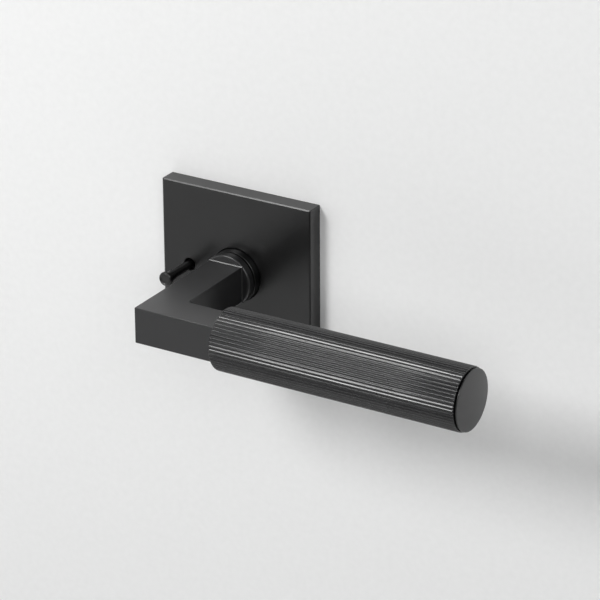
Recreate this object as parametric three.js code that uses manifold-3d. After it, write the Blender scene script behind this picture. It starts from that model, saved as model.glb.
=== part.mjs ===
// A door lever handle with a privacy pin: square rose, L-shaped square arm, reeded round grip,
// and the sprung mechanism, spindle and fixings behind the rose.
// Millimetres. The origin is where the spindle's axis crosses the door face.
// +X runs along the grip, +Y goes into the door, +Z is up.

import * as THREE from "three";
import { mergeVertices } from "three/addons/utils/BufferGeometryUtils.js";
import Module from "manifold-3d";

const wasm = await Module();
wasm.setup();

// Driving dimensions.
const GAP = 0.3; // clearance between neighbouring pieces

const ROSE_SIDE = 66.3;
const ROSE_DEPTH = 7.2;
const ROSE_WALL = 1.8;
const ROSE_BEVEL = 0.55;
const ROSE_SCREW_OUT = 3.4; // from the door face to the axis of the rose's set screw
const ROSE_SCREW_RADIUS = 1.5;

const BAR = 14.3; // side of the arm's square section
const AXIS_OUT = 59.15; // from the door face to the grip's axis
const GRIP_START = 28.2;
const GRIP_END = 131.2;
const GRIP_RADIUS = 12.16; // over the reeds' crests
const REEDS = 54;
const REED_DEPTH = 0.31;
const SLEEVE_BORE = 9.4;
const SPIGOT_LENGTH = 22;
const TIE_SCREW_RADIUS = 2.5;
const PLUG_BACK = 20; // from the grip's end to the far and near faces of the plug in the sleeve
const PLUG_FRONT = 9;
const CAP_LENGTH = 0.9; // the part of the cap that shows beyond the sleeve

const NECK_RADIUS = 10.57;
const NECK_FRONT = 14.6; // from the door face to the front of the neck disc
const COLLAR_FRONT = 10.4;
const COLLAR_BORE = 9.3;
const COLLAR_FLANGE_RADIUS = 14;
const WASHER_THICK = 0.4; // the bearing's rim, between the collar and the neck disc
const DISC_BACK = -COLLAR_FRONT - WASHER_THICK - 2 * GAP;
const SHANK_RADIUS = 7.6;
const SHANK_BACK = 3; // from the door face to the back of the lever's hollow shank

const SPINDLE_SIDE = 8;
const SPINDLE_FRONT = 26;
const SPINDLE_BACK = 46;
const SPINDLE_HOLE = SPINDLE_SIDE + 2 * GAP;
const LEVER_SCREW_OUT = 20; // from the door face to the axis of the lever's set screw
const LEVER_SCREW_RADIUS = 2.1;

const PLATE_SIDE = 61.4;
const PLATE_THICK = 2;
const BOLT_OFFSET = 22; // through bolts above and below the spindle
const BOLT_RADIUS = 2;
const BOLT_BACK = 38;
const BOLT_HEAD = 2.3;
const BOLT_HEAD_RADIUS = 3.9;
const LUG_SCREW_OFFSET = 13.7; // across and up from the spindle to each housing screw
const LUG_SCREW_RADIUS = 1.2;
const LUG_SCREW_HEAD = 1.6;
const LUG_BACK = 3.2;

const HOUSING_RADIUS = 16.6;
const HOUSING_BACK = 9.6;
const HOUSING_WALL = 1.5;
const HUB_BARREL_RADIUS = 8.8;
const HUB_FLANGE_RADIUS = 12.9;
const HUB_FLANGE_FRONT = 0.6;
const HUB_FLANGE_BACK = 2.4;
const LEVER_TURN = 50; // degrees, grip downwards
const LUG_HALF_ANGLE = 12; // degrees
const STOP_SLACK = 1.4; // degrees left at each stop
const LUG_RADIUS = 14.6;

const SPRING_RADIUS = 10.9;
const WIRE_RADIUS = 0.8;
const SPRING_TURNS = 1.75;
const COIL_FRONT = 3.7;
const COIL_BACK = 7.1;

const PIN_X = -21.3;
const PIN_Z = -0.4;
const PIN_HOLE_RADIUS = 2.4; // in the rose, with room round the rod
const PIN_ROD_RADIUS = 1.7;
const PIN_BARREL_RADIUS = 2.05;
const GUIDE_RADIUS = 3;
const CLIP_THICK = 0.8;
const PIN_HEAD_RADIUS = 2.85;
const PIN_FRONT = 24.6; // from the door face to the front of the pin's head
const PIN_HEAD = 1.3;
const PIN_BACK = 30;

const DEG = Math.PI / 180;

// Boolean cuts and joins.

// A three.js geometry as a manifold solid.
function solid(geometry) {
  const bare = geometry.index ? geometry.toNonIndexed() : geometry.clone();
  const points = new THREE.BufferGeometry();
  points.setAttribute("position", bare.getAttribute("position"));
  const merged = mergeVertices(points, 1e-4);
  return new wasm.Manifold(
    new wasm.Mesh({
      numProp: 3,
      vertProperties: merged.attributes.position.array,
      triVerts: new Uint32Array(merged.index.array),
    }),
  );
}

// The solid that is left of a geometry after others are added to it and then cut from it.
function shape(base, { add = [], cut = [] } = {}) {
  let body = solid(base);
  for (const piece of add) body = body.add(solid(piece));
  for (const piece of cut) body = body.subtract(solid(piece));
  const mesh = body.getMesh();
  const geometry = new THREE.BufferGeometry();
  geometry.setAttribute("position", new THREE.BufferAttribute(mesh.vertProperties, 3));
  geometry.setIndex(new THREE.BufferAttribute(mesh.triVerts, 1));
  geometry.computeVertexNormals();
  return geometry;
}

// Basic forms, each placed by its real coordinates.

// A box between two values on each axis.
function box([x0, x1], [y0, y1], [z0, z1]) {
  return new THREE.BoxGeometry(x1 - x0, y1 - y0, z1 - z0).translate(
    (x0 + x1) / 2,
    (y0 + y1) / 2,
    (z0 + z1) / 2,
  );
}

// A turned piece about the Y direction through (x, z), from [radius, y] points in order of rising y.
function turned(points, { x = 0, z = 0, sides = 36 } = {}) {
  const profile = points.map(([radius, y]) => new THREE.Vector2(radius, y));
  return new THREE.LatheGeometry(profile, sides).translate(x, 0, z);
}

// A solid cylinder along Y.
function rodY(radius, y0, y1, place = {}) {
  return turned([[0, y0], [radius, y0], [radius, y1], [0, y1]], place);
}

// A solid cylinder along Z.
function rodZ(radius, y, z0, z1) {
  return rodY(radius, 0, z1 - z0, { sides: 20 }).rotateX(Math.PI / 2).translate(0, y, z0);
}

// A ring along Y.
function ringY(inner, outer, y0, y1, place = {}) {
  return turned([[inner, y0], [outer, y0], [outer, y1], [inner, y1], [inner, y0]], place);
}

// Lays a piece made about Y along the grip's axis, with its y as x.
function alongGrip(geometry) {
  return geometry.rotateZ(-Math.PI / 2).translate(0, -AXIS_OUT, 0);
}

// A square bar along Y, centred on the spindle's axis.
function squareY(side, y0, y1) {
  return box([-side / 2, side / 2], [y0, y1], [-side / 2, side / 2]);
}

// A sector of a ring about Y; angles in degrees from +X towards +Z.
function sectorY(inner, outer, from, to, y0, y1) {
  const outline = new THREE.Shape();
  outline.absarc(0, 0, outer, from * DEG, to * DEG, false);
  outline.absarc(0, 0, inner, to * DEG, from * DEG, true);
  const steps = { depth: y1 - y0, bevelEnabled: false, curveSegments: 16 };
  return new THREE.ExtrudeGeometry(outline, steps).rotateX(Math.PI / 2).translate(0, y1, 0);
}

// A hexagonal key socket along Y.
function socketY(radius, y0, y1, place = {}) {
  return rodY(radius, y0, y1, { ...place, sides: 6 });
}

// Materials.

function metal(color, roughness, metalness = 0.9) {
  return new THREE.MeshStandardMaterial({ color, roughness, metalness });
}

const BLACK_FINISH = metal(0x2b2b2d, 0.42, 0.6);
const ZINC_STEEL = metal(0xa9adb2, 0.38);
const SPRING_STEEL = metal(0x4a4d52, 0.35);
const NYLON = metal(0x1c1c1e, 0.6, 0);

// The rose and what is fixed to the door.

function roseCover() {
  const half = ROSE_SIDE / 2;
  const flat = half - ROSE_BEVEL;
  const outline = new THREE.Shape();
  outline.moveTo(-flat, -flat);
  outline.lineTo(flat, -flat);
  outline.lineTo(flat, flat);
  outline.lineTo(-flat, flat);
  outline.closePath();
  const bevelled = new THREE.ExtrudeGeometry(outline, {
    depth: ROSE_DEPTH - ROSE_BEVEL,
    bevelThickness: ROSE_BEVEL,
    bevelSize: ROSE_BEVEL,
    bevelSegments: 2,
  });
  const block = bevelled.rotateX(Math.PI / 2);
  const hollow = half - ROSE_WALL;
  const behind = [-half - 1, half + 1];
  return shape(block, {
    cut: [
      box(behind, [0, ROSE_DEPTH], behind),
      box([-hollow, hollow], [ROSE_WALL - ROSE_DEPTH, 1], [-hollow, hollow]),
      rodY(NECK_RADIUS + GAP, -ROSE_DEPTH - 1, 1),
      rodY(PIN_HOLE_RADIUS, -ROSE_DEPTH - 1, 1, { x: PIN_X, z: PIN_Z, sides: 24 }),
      rodZ(ROSE_SCREW_RADIUS + GAP, -ROSE_SCREW_OUT, -half - 1, 1 - hollow),
    ],
  });
}

function roseCollar() {
  const flangeFront = ROSE_WALL - ROSE_DEPTH + GAP;
  const flangeBack = -PLATE_THICK - GAP;
  const edge = 0.4;
  return turned([
    [COLLAR_BORE, flangeBack],
    [COLLAR_BORE, -COLLAR_FRONT],
    [NECK_RADIUS - edge, -COLLAR_FRONT],
    [NECK_RADIUS, edge - COLLAR_FRONT],
    [NECK_RADIUS, flangeFront],
    [COLLAR_FLANGE_RADIUS, flangeFront],
    [COLLAR_FLANGE_RADIUS, flangeBack],
    [COLLAR_BORE, flangeBack],
  ]);
}

function mountingPlate() {
  const half = PLATE_SIDE / 2;
  const blank = box([-half, half], [-PLATE_THICK, 0], [-half, half]);
  const through = [-PLATE_THICK - 1, 1];
  const holes = [rodY(SHANK_RADIUS + 2 * GAP, ...through)];
  for (const side of [-1, 1]) {
    const bolt = { z: side * BOLT_OFFSET, sides: 24 };
    holes.push(rodY(BOLT_RADIUS + GAP, ...through, bolt));
    holes.push(rodY(LUG_SCREW_RADIUS + GAP, ...through, { ...housingLug(side), sides: 16 }));
  }
  holes.push(rodY(GUIDE_RADIUS + GAP, ...through, { x: PIN_X, z: PIN_Z, sides: 24 }));
  return shape(blank, { cut: holes });
}

// Where a screw holds the housing to the plate: the upper right and the lower left.
function housingLug(side) {
  return { x: side * LUG_SCREW_OFFSET, z: side * LUG_SCREW_OFFSET };
}

// The cup that holds the spring, with a lug for each screw and the block the hub turns between.
function springHousing() {
  const inner = HOUSING_RADIUS - HOUSING_WALL;
  const floor = HOUSING_BACK - HOUSING_WALL;
  const mouth = SHANK_RADIUS + 0.5;
  const cup = turned([
    [mouth, floor],
    [inner, floor],
    [inner, GAP],
    [HOUSING_RADIUS, GAP],
    [HOUSING_RADIUS, HOUSING_BACK],
    [mouth, HOUSING_BACK],
    [mouth, floor],
  ]);
  const flangeRoom = HUB_FLANGE_RADIUS + 0.4;
  const stopFrom = 90 + LUG_HALF_ANGLE + STOP_SLACK;
  const stopTo = 360 + 90 - LEVER_TURN - LUG_HALF_ANGLE - STOP_SLACK;
  const stop = sectorY(flangeRoom, inner + 0.5, stopFrom, stopTo, GAP, HUB_FLANGE_BACK);
  const lugs = [-1, 1].map((side) =>
    rodY(3 * LUG_SCREW_RADIUS, GAP, LUG_BACK, { ...housingLug(side), sides: 24 }),
  );
  const screwHoles = [-1, 1].map((side) =>
    rodY(LUG_SCREW_RADIUS + GAP, 0, LUG_BACK + 1, { ...housingLug(side), sides: 16 }),
  );
  const legHole = springLegHole(SPRING_BACK_ANGLE, floor - 1, HOUSING_BACK + 1);
  return shape(cup, { add: [stop, ...lugs], cut: [...screwHoles, legHole] });
}

// The hole that takes one end of the spring's wire.
function springLegHole(angle, y0, y1) {
  const place = { x: SPRING_RADIUS * Math.cos(angle), z: SPRING_RADIUS * Math.sin(angle), sides: 16 };
  return rodY(WIRE_RADIUS + 0.7, y0, y1, place);
}

// A torsion spring: its front end stands in the hub's flange and its back end in the housing's floor.
const SPRING_FRONT_ANGLE = 200 * DEG;
const SPRING_BACK_ANGLE = SPRING_FRONT_ANGLE + SPRING_TURNS * 2 * Math.PI;

function returnSpring() {
  const bend = 0.12; // radians of the coil at each end that turn into a straight leg
  const steps = 16;
  const at = (angle, y) =>
    new THREE.Vector3(SPRING_RADIUS * Math.cos(angle), y, SPRING_RADIUS * Math.sin(angle));
  const points = [at(SPRING_FRONT_ANGLE, 1), at(SPRING_FRONT_ANGLE, COIL_FRONT - 0.9)];
  const last = Math.round(SPRING_TURNS * steps);
  for (let i = 0; i <= last; i++) {
    const share = i / last;
    const span = SPRING_BACK_ANGLE - SPRING_FRONT_ANGLE - 2 * bend;
    const angle = SPRING_FRONT_ANGLE + bend + share * span;
    points.push(at(angle, COIL_FRONT + share * (COIL_BACK - COIL_FRONT)));
  }
  points.push(at(SPRING_BACK_ANGLE, COIL_BACK + 0.9), at(SPRING_BACK_ANGLE, HOUSING_BACK - 0.2));
  const wire = new THREE.Shape();
  wire.absarc(0, 0, WIRE_RADIUS, 0, 2 * Math.PI, false);
  return new THREE.ExtrudeGeometry(wire, {
    steps: 64,
    curveSegments: 3,
    extrudePath: new THREE.CatmullRomCurve3(points),
  });
}

// A pan-headed screw along Y with its head at the given end and a key socket in it.
function screw({ x = 0, z = 0 }, radius, headRadius, headHeight, headY, tipY) {
  const into = Math.sign(tipY - headY);
  const seat = headY + into * headHeight;
  const place = { x, z, sides: 24 };
  const points = [
    [0, headY],
    [headRadius - 0.4, headY],
    [headRadius, headY + into * 0.4],
    [headRadius, seat],
    [radius, seat],
    [radius, tipY],
    [0, tipY],
  ];
  const body = turned(into > 0 ? points : points.reverse(), place);
  const socketDepth = headY + into * headHeight * 0.6;
  const y0 = Math.min(headY - into, socketDepth);
  const y1 = Math.max(headY - into, socketDepth);
  return shape(body, { cut: [socketY(headRadius * 0.5, y0, y1, { x, z })] });
}

// A headless set screw pointing up along Z.
function setScrewZ(radius, y, bottom, top) {
  const depth = (top - bottom) / 2;
  const key = socketY(radius / 2, -1, depth).rotateX(Math.PI / 2).translate(0, y, bottom);
  return shape(rodZ(radius, y, bottom, top), { cut: [key] });
}

function pinGuide() {
  const place = { x: PIN_X, z: PIN_Z, sides: 24 };
  const bore = PIN_ROD_RADIUS + GAP;
  const rim = GUIDE_RADIUS + 1.2;
  const seat = -PLATE_THICK - GAP;
  const front = seat - 0.9;
  const profile = [
    [bore, 0],
    [bore, front],
    [rim, front],
    [rim, seat],
    [GUIDE_RADIUS, seat],
    [GUIDE_RADIUS, 0],
    [bore, 0],
  ];
  return turned(profile, place);
}

// The turning lever.

// The square bar from the neck out and along to the grip, with the neck disc, the hollow shank
// and the round spigot inside the sleeve.
function leverArm() {
  const half = BAR / 2;
  const frontFace = AXIS_OUT + half;
  const backFace = AXIS_OUT - half;
  const barEnd = GRIP_START - GAP;
  const fillet = 2;
  const intoDisc = 0.5;
  const outline = new THREE.Shape();
  outline.moveTo(-half, frontFace);
  outline.lineTo(barEnd, frontFace);
  outline.lineTo(barEnd, backFace);
  outline.lineTo(half + fillet, backFace);
  outline.quadraticCurveTo(half, backFace, half, backFace - fillet);
  outline.lineTo(half, NECK_FRONT - intoDisc);
  outline.lineTo(-half, NECK_FRONT - intoDisc);
  outline.closePath();
  const bar = new THREE.ExtrudeGeometry(outline, {
    depth: BAR,
    bevelEnabled: false,
    curveSegments: 5,
  });
  bar.rotateX(Math.PI).translate(0, 0, half);
  const edge = 0.45;
  const disc = turned([
    [0, -NECK_FRONT],
    [NECK_RADIUS - edge, -NECK_FRONT],
    [NECK_RADIUS, edge - NECK_FRONT],
    [NECK_RADIUS, DISC_BACK],
    [SHANK_RADIUS, DISC_BACK],
    [SHANK_RADIUS, -SHANK_BACK],
    [0, -SHANK_BACK],
  ]);
  const spigotEnd = GRIP_START + SPIGOT_LENGTH;
  const spigotRadius = SLEEVE_BORE - GAP;
  const spigot = turned([
    [0, barEnd - 1],
    [half - 1, barEnd - 1],
    [half - 1, barEnd],
    [spigotRadius, barEnd],
    [spigotRadius, spigotEnd],
    [0, spigotEnd],
  ], { sides: 40 });
  const thread = rodY(TIE_SCREW_RADIUS + GAP, GRIP_START + 4, spigotEnd + 1, { sides: 20 });
  return shape(bar, {
    add: [disc, alongGrip(spigot)],
    cut: [
      squareY(SPINDLE_HOLE, -SPINDLE_FRONT - GAP, 0),
      rodZ(LEVER_SCREW_RADIUS + GAP, -LEVER_SCREW_OUT, -half - 1, 0),
      alongGrip(thread),
    ],
  });
}

// The reeded tube: shallow reeds with rounded crests and valleys round a plain bore.
function gripSleeve() {
  const outline = new THREE.Shape();
  const pitch = (2 * Math.PI) / REEDS;
  const perReed = 4;
  for (let i = 0; i < REEDS * perReed; i++) {
    const across = (i % perReed) / perReed;
    const radius = GRIP_RADIUS - REED_DEPTH * 0.5 * (1 - Math.cos(2 * Math.PI * across));
    const angle = (i / perReed) * pitch;
    const x = radius * Math.cos(angle);
    const y = radius * Math.sin(angle);
    if (i === 0) outline.moveTo(x, y);
    else outline.lineTo(x, y);
  }
  outline.closePath();
  const bore = new THREE.Path();
  bore.absarc(0, 0, SLEEVE_BORE, 0, 2 * Math.PI, true);
  outline.holes.push(bore);
  const tube = new THREE.ExtrudeGeometry(outline, {
    depth: GRIP_END - CAP_LENGTH - GAP - GRIP_START,
    bevelEnabled: false,
    curveSegments: 20,
  });
  return tube.rotateY(Math.PI / 2).translate(GRIP_START, -AXIS_OUT, 0);
}

function gripEndPlug() {
  const hole = TIE_SCREW_RADIUS + 0.8;
  return alongGrip(ringY(hole, SLEEVE_BORE - GAP, GRIP_END - PLUG_BACK, GRIP_END - PLUG_FRONT));
}

const TIE_WASHER_START = GRIP_END - PLUG_FRONT + GAP;
const TIE_WASHER_END = TIE_WASHER_START + 0.8;

function gripTieWasher() {
  const inner = TIE_SCREW_RADIUS + 0.8;
  return alongGrip(ringY(inner, 6.2, TIE_WASHER_START, TIE_WASHER_END, { sides: 32 }));
}

function gripTieScrew() {
  const start = GRIP_START + 5;
  const seat = TIE_WASHER_END + GAP;
  const head = seat + 2.6;
  const headRadius = 4.6;
  const edge = 0.4;
  const body = turned([
    [0, start],
    [TIE_SCREW_RADIUS, start],
    [TIE_SCREW_RADIUS, seat],
    [headRadius, seat],
    [headRadius, head - edge],
    [headRadius - edge, head],
    [0, head],
  ], { sides: 24 });
  return alongGrip(shape(body, { cut: [socketY(headRadius / 2, seat + 1, head + 1)] }));
}

function endCap() {
  const face = GRIP_END;
  const rim = GRIP_RADIUS - 0.06;
  const rimBack = face - CAP_LENGTH;
  const chamfer = CAP_LENGTH - 0.1;
  const floor = face - 2.6;
  const bossEnd = GRIP_END - PLUG_FRONT + 1;
  const bossRadius = SLEEVE_BORE - GAP;
  const hollow = 6.4;
  return alongGrip(turned([
    [0, floor],
    [hollow, floor],
    [hollow, bossEnd],
    [bossRadius, bossEnd],
    [bossRadius, rimBack],
    [rim, rimBack],
    [rim, face - chamfer],
    [rim - chamfer, face],
    [0, face],
  ], { sides: 48 }));
}

// A flanged bush: its sleeve turns in the collar and its rim keeps the neck disc off the collar.
function neckBearing() {
  const rimBack = -COLLAR_FRONT - GAP;
  const rimFront = rimBack - WASHER_THICK;
  const rim = NECK_RADIUS - 0.7;
  const inner = SHANK_RADIUS + GAP;
  const outer = COLLAR_BORE - GAP;
  return turned([
    [inner, -SHANK_BACK],
    [inner, rimFront],
    [rim, rimFront],
    [rim, rimBack],
    [outer, rimBack],
    [outer, -SHANK_BACK],
    [inner, -SHANK_BACK],
  ]);
}

// The hub: a spigot through the plate, a flange with the stop lug, the spring's barrel and a
// journal through the housing's floor with a groove for the circlip.
const CIRCLIP_FRONT = HOUSING_BACK + GAP;
const CIRCLIP_BACK = CIRCLIP_FRONT + 1;
const GROOVE_SLACK = 0.15;

function driveHub() {
  const spigotFront = -PLATE_THICK - 0.7;
  const journalBack = CIRCLIP_BACK + 1.4;
  const grooveRadius = SHANK_RADIUS - 0.7;
  const barrelBack = HOUSING_BACK - HOUSING_WALL - GAP;
  const turnedBody = turned([
    [0, spigotFront],
    [SHANK_RADIUS, spigotFront],
    [SHANK_RADIUS, HUB_FLANGE_FRONT],
    [HUB_FLANGE_RADIUS, HUB_FLANGE_FRONT],
    [HUB_FLANGE_RADIUS, HUB_FLANGE_BACK],
    [HUB_BARREL_RADIUS, HUB_FLANGE_BACK],
    [HUB_BARREL_RADIUS, barrelBack],
    [SHANK_RADIUS, barrelBack],
    [SHANK_RADIUS, CIRCLIP_FRONT - GROOVE_SLACK],
    [grooveRadius, CIRCLIP_FRONT - GROOVE_SLACK],
    [grooveRadius, CIRCLIP_BACK + GROOVE_SLACK],
    [SHANK_RADIUS, CIRCLIP_BACK + GROOVE_SLACK],
    [SHANK_RADIUS, journalBack],
    [0, journalBack],
  ]);
  const lugFrom = 90 - LUG_HALF_ANGLE;
  const lugTo = 90 + LUG_HALF_ANGLE;
  const rim = HUB_FLANGE_RADIUS - 1;
  const lug = sectorY(rim, LUG_RADIUS, lugFrom, lugTo, HUB_FLANGE_FRONT, HUB_FLANGE_BACK);
  return shape(turnedBody, {
    add: [lug],
    cut: [
      squareY(SPINDLE_HOLE, spigotFront - 1, journalBack + 1),
      springLegHole(SPRING_FRONT_ANGLE, 0, HUB_FLANGE_BACK + 1),
    ],
  });
}

// Open for 60 degrees below, where pliers spread it.
function hubCirclip() {
  const inner = SHANK_RADIUS - 0.35;
  return sectorY(inner, SHANK_RADIUS + 2, -60, 240, CIRCLIP_FRONT, CIRCLIP_BACK);
}

// The square bar, with its far edges broken for entering the latch.
function spindle() {
  const edge = 0.5;
  const flat = SPINDLE_SIDE / 2 - edge;
  const outline = new THREE.Shape();
  outline.moveTo(-flat, -flat);
  outline.lineTo(flat, -flat);
  outline.lineTo(flat, flat);
  outline.lineTo(-flat, flat);
  outline.closePath();
  const bar = new THREE.ExtrudeGeometry(outline, {
    depth: SPINDLE_FRONT + SPINDLE_BACK - 2 * edge,
    bevelThickness: edge,
    bevelSize: edge,
    bevelSegments: 1,
  });
  return bar.rotateX(Math.PI / 2).translate(0, SPINDLE_BACK - edge, 0);
}

// The privacy pin.

const PIN_PLACE = { x: PIN_X, z: PIN_Z, sides: 24 };

function pinHead() {
  const edge = 0.35;
  return turned([
    [0, -PIN_FRONT],
    [PIN_HEAD_RADIUS - edge, edge / 2 - PIN_FRONT],
    [PIN_HEAD_RADIUS, edge * 1.5 - PIN_FRONT],
    [PIN_HEAD_RADIUS, PIN_HEAD - PIN_FRONT],
    [0, PIN_HEAD - PIN_FRONT],
  ], PIN_PLACE);
}

// Where the spring clip sits on the rod, just behind the guide.
const CLIP_FRONT = GAP;
const CLIP_BACK = CLIP_FRONT + CLIP_THICK;

// The rod, thicker behind the head and flattened at the far end for the latch.
function pinRod() {
  const start = PIN_HEAD + GAP - PIN_FRONT;
  const barrelEnd = start + 3.2;
  const grooveRadius = PIN_ROD_RADIUS - 0.4;
  const turnedBody = turned([
    [0, start],
    [PIN_BARREL_RADIUS, start],
    [PIN_BARREL_RADIUS, barrelEnd],
    [PIN_ROD_RADIUS, barrelEnd + 0.3],
    [PIN_ROD_RADIUS, CLIP_FRONT - GROOVE_SLACK],
    [grooveRadius, CLIP_FRONT - GROOVE_SLACK],
    [grooveRadius, CLIP_BACK + GROOVE_SLACK],
    [PIN_ROD_RADIUS, CLIP_BACK + GROOVE_SLACK],
    [PIN_ROD_RADIUS, PIN_BACK],
    [0, PIN_BACK],
  ], PIN_PLACE);
  const flatLength = 9;
  const halfThick = 0.6;
  const flats = [-1, 1].map((side) => {
    const near = PIN_X + side * halfThick;
    const far = PIN_X + side * 2 * PIN_ROD_RADIUS;
    const across = [Math.min(near, far), Math.max(near, far)];
    return box(across, [PIN_BACK - flatLength, PIN_BACK + 1], [PIN_Z - 2, PIN_Z + 2]);
  });
  return shape(turnedBody, { cut: flats });
}

function pinClip() {
  const inner = PIN_ROD_RADIUS - 0.1;
  const outer = 2 * PIN_ROD_RADIUS;
  return sectorY(inner, outer, -60, 240, CLIP_FRONT, CLIP_BACK).translate(PIN_X, 0, PIN_Z);
}

// The whole handle.

const handle = new THREE.Group();

function place(name, geometry, material) {
  const mesh = new THREE.Mesh(geometry, material.clone());
  mesh.name = name;
  handle.add(mesh);
}

place("rose_cover", roseCover(), BLACK_FINISH);
place("rose_collar", roseCollar(), BLACK_FINISH);
place("mounting_plate", mountingPlate(), ZINC_STEEL);
place("spring_housing", springHousing(), ZINC_STEEL);
place("return_spring", returnSpring(), SPRING_STEEL);
place("pin_guide", pinGuide(), NYLON);
const roseScrewBottom = -ROSE_SIDE / 2 + 0.1;
const roseScrewTop = -PLATE_SIDE / 2 - GAP;
const roseScrew = setScrewZ(ROSE_SCREW_RADIUS, -ROSE_SCREW_OUT, roseScrewBottom, roseScrewTop);
place("rose_set_screw", roseScrew, SPRING_STEEL);

for (const [word, side] of [["upper", 1], ["lower", -1]]) {
  const bolt = { z: side * BOLT_OFFSET };
  const boltHead = -PLATE_THICK - GAP - BOLT_HEAD;
  const mountingBolt = screw(bolt, BOLT_RADIUS, BOLT_HEAD_RADIUS, BOLT_HEAD, boltHead, BOLT_BACK);
  place(`mounting_bolt_${word}`, mountingBolt, ZINC_STEEL);
  const lug = housingLug(side);
  const lugHead = LUG_BACK + GAP + LUG_SCREW_HEAD;
  const lugTip = 0.2 - PLATE_THICK;
  const lugScrew = screw(lug, LUG_SCREW_RADIUS, 2 * LUG_SCREW_RADIUS, LUG_SCREW_HEAD, lugHead, lugTip);
  place(`housing_screw_${word}`, lugScrew, ZINC_STEEL);
}

place("lever_arm", leverArm(), BLACK_FINISH);
place("grip_sleeve", gripSleeve(), BLACK_FINISH);
place("end_cap", endCap(), BLACK_FINISH);
place("grip_end_plug", gripEndPlug(), ZINC_STEEL);
place("grip_tie_washer", gripTieWasher(), ZINC_STEEL);
place("grip_tie_screw", gripTieScrew(), ZINC_STEEL);
place("neck_bearing", neckBearing(), NYLON);
place("drive_hub", driveHub(), ZINC_STEEL);
place("hub_circlip", hubCirclip(), SPRING_STEEL);
place("spindle", spindle(), ZINC_STEEL);
const leverScrewBottom = -BAR / 2 + 0.1;
const leverScrewTop = -SPINDLE_SIDE / 2 - GAP;
const leverScrew = setScrewZ(LEVER_SCREW_RADIUS, -LEVER_SCREW_OUT, leverScrewBottom, leverScrewTop);
place("lever_set_screw", leverScrew, SPRING_STEEL);

place("pin_head", pinHead(), BLACK_FINISH);
place("pin_rod", pinRod(), BLACK_FINISH);
place("pin_clip", pinClip(), SPRING_STEEL);

export default handle;
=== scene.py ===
"""A door lever handle with a privacy pin, dressed for its picture.

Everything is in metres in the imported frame: +X along the grip, +Y into the door, +Z up, and the
origin where the spindle's axis crosses the door face.
"""

import math

import bmesh
import bpy
from mathutils import Matrix, Vector


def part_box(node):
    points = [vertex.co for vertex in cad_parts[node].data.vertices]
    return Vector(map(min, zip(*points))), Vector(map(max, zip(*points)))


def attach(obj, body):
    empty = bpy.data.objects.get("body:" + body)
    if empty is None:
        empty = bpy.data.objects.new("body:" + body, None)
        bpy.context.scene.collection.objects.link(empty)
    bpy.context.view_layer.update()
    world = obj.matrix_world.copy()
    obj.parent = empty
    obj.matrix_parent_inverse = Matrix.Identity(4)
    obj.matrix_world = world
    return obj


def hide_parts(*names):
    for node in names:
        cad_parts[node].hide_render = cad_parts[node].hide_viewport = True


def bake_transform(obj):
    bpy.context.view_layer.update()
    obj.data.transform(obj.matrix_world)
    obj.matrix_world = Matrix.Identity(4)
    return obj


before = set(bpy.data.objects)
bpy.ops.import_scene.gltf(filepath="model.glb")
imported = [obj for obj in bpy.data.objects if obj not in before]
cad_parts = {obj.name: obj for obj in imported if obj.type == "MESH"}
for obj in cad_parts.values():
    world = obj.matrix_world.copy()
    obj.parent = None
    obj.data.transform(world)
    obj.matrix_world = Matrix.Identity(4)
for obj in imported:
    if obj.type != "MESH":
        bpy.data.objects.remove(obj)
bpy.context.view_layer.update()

MM = 0.001
GAP = 0.3 * MM
TAU = 2 * math.pi


# ---------------------------------------------------------------- sizes read from the frame

def span(node, axis):
    """Lowest and highest value of a CAD node on axis 0, 1 or 2."""
    low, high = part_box(node)
    return low[axis], high[axis]


ROSE_HALF = span("rose_cover", 0)[1]
ROSE_FRONT = span("rose_cover", 1)[0]
ARM_SHANK_BACK = span("lever_arm", 1)[1]
NECK_RADIUS = span("lever_arm", 2)[1]
GRIP_LOW, GRIP_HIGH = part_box("grip_sleeve")
GRIP_RADIUS = (GRIP_HIGH[2] - GRIP_LOW[2]) / 2
GRIP_Y = (GRIP_LOW[1] + GRIP_HIGH[1]) / 2
CAP_END = span("end_cap", 0)[1]
PIN_LOW, PIN_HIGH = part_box("pin_head")
PIN_X = (PIN_LOW[0] + PIN_HIGH[0]) / 2
PIN_Z = (PIN_LOW[2] + PIN_HIGH[2]) / 2
LUG_LOW, LUG_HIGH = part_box("housing_screw_upper")
LUG_PLACE = (LUG_LOW[0] + LUG_HIGH[0]) / 2


# ---------------------------------------------------------------- sizes the boxes don't give

BAR_HALF = 7.15 * MM
ARM_FRONT = GRIP_Y - BAR_HALF
ROSE_WALL = 1.8 * MM
PIN_HOLE_RADIUS = 2.4 * MM
COLLAR_BORE = 9.3 * MM
NECK_FRONT = -14.6 * MM
SHANK_RADIUS = 7.6 * MM
BORE_HALF = 4.3 * MM  # the square bore that takes the spindle, in the arm and in the hub
SPIGOT_RADIUS = 9.1 * MM
SPIGOT_LENGTH = 22 * MM
SLEEVE_BORE = 9.4 * MM
REEDS = 54
PIN_BARREL_RADIUS = 2.05 * MM
PIN_ROD_RADIUS = 1.7 * MM
PIN_GROOVE_RADIUS = 1.3 * MM
GROOVE_SLACK = 0.15 * MM
LUG_SCREW_HOLE = 1.5 * MM
HOUSING_RADIUS = 16.6 * MM
HOUSING_WALL = 1.5 * MM
HUB_FLANGE_RADIUS = 12.9 * MM
HUB_FLANGE_FRONT = 0.6 * MM
HUB_FLANGE_BACK = 2.4 * MM
STOP_LUG_RADIUS = 14.6 * MM
STOP_LUG_HALF_ANGLE = 12  # degrees
STOP_SLACK = 1.4  # degrees left at each stop
LEVER_TURN = 50  # degrees, grip downwards
UP = 90  # degrees from +X towards +Z
SPRING_RADIUS = 10.9 * MM
WIRE_RADIUS = 0.8 * MM
COIL_FRONT = 3.7 * MM
COIL_BACK = 7.1 * MM
SPRING_TURNS = 1.75
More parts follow.
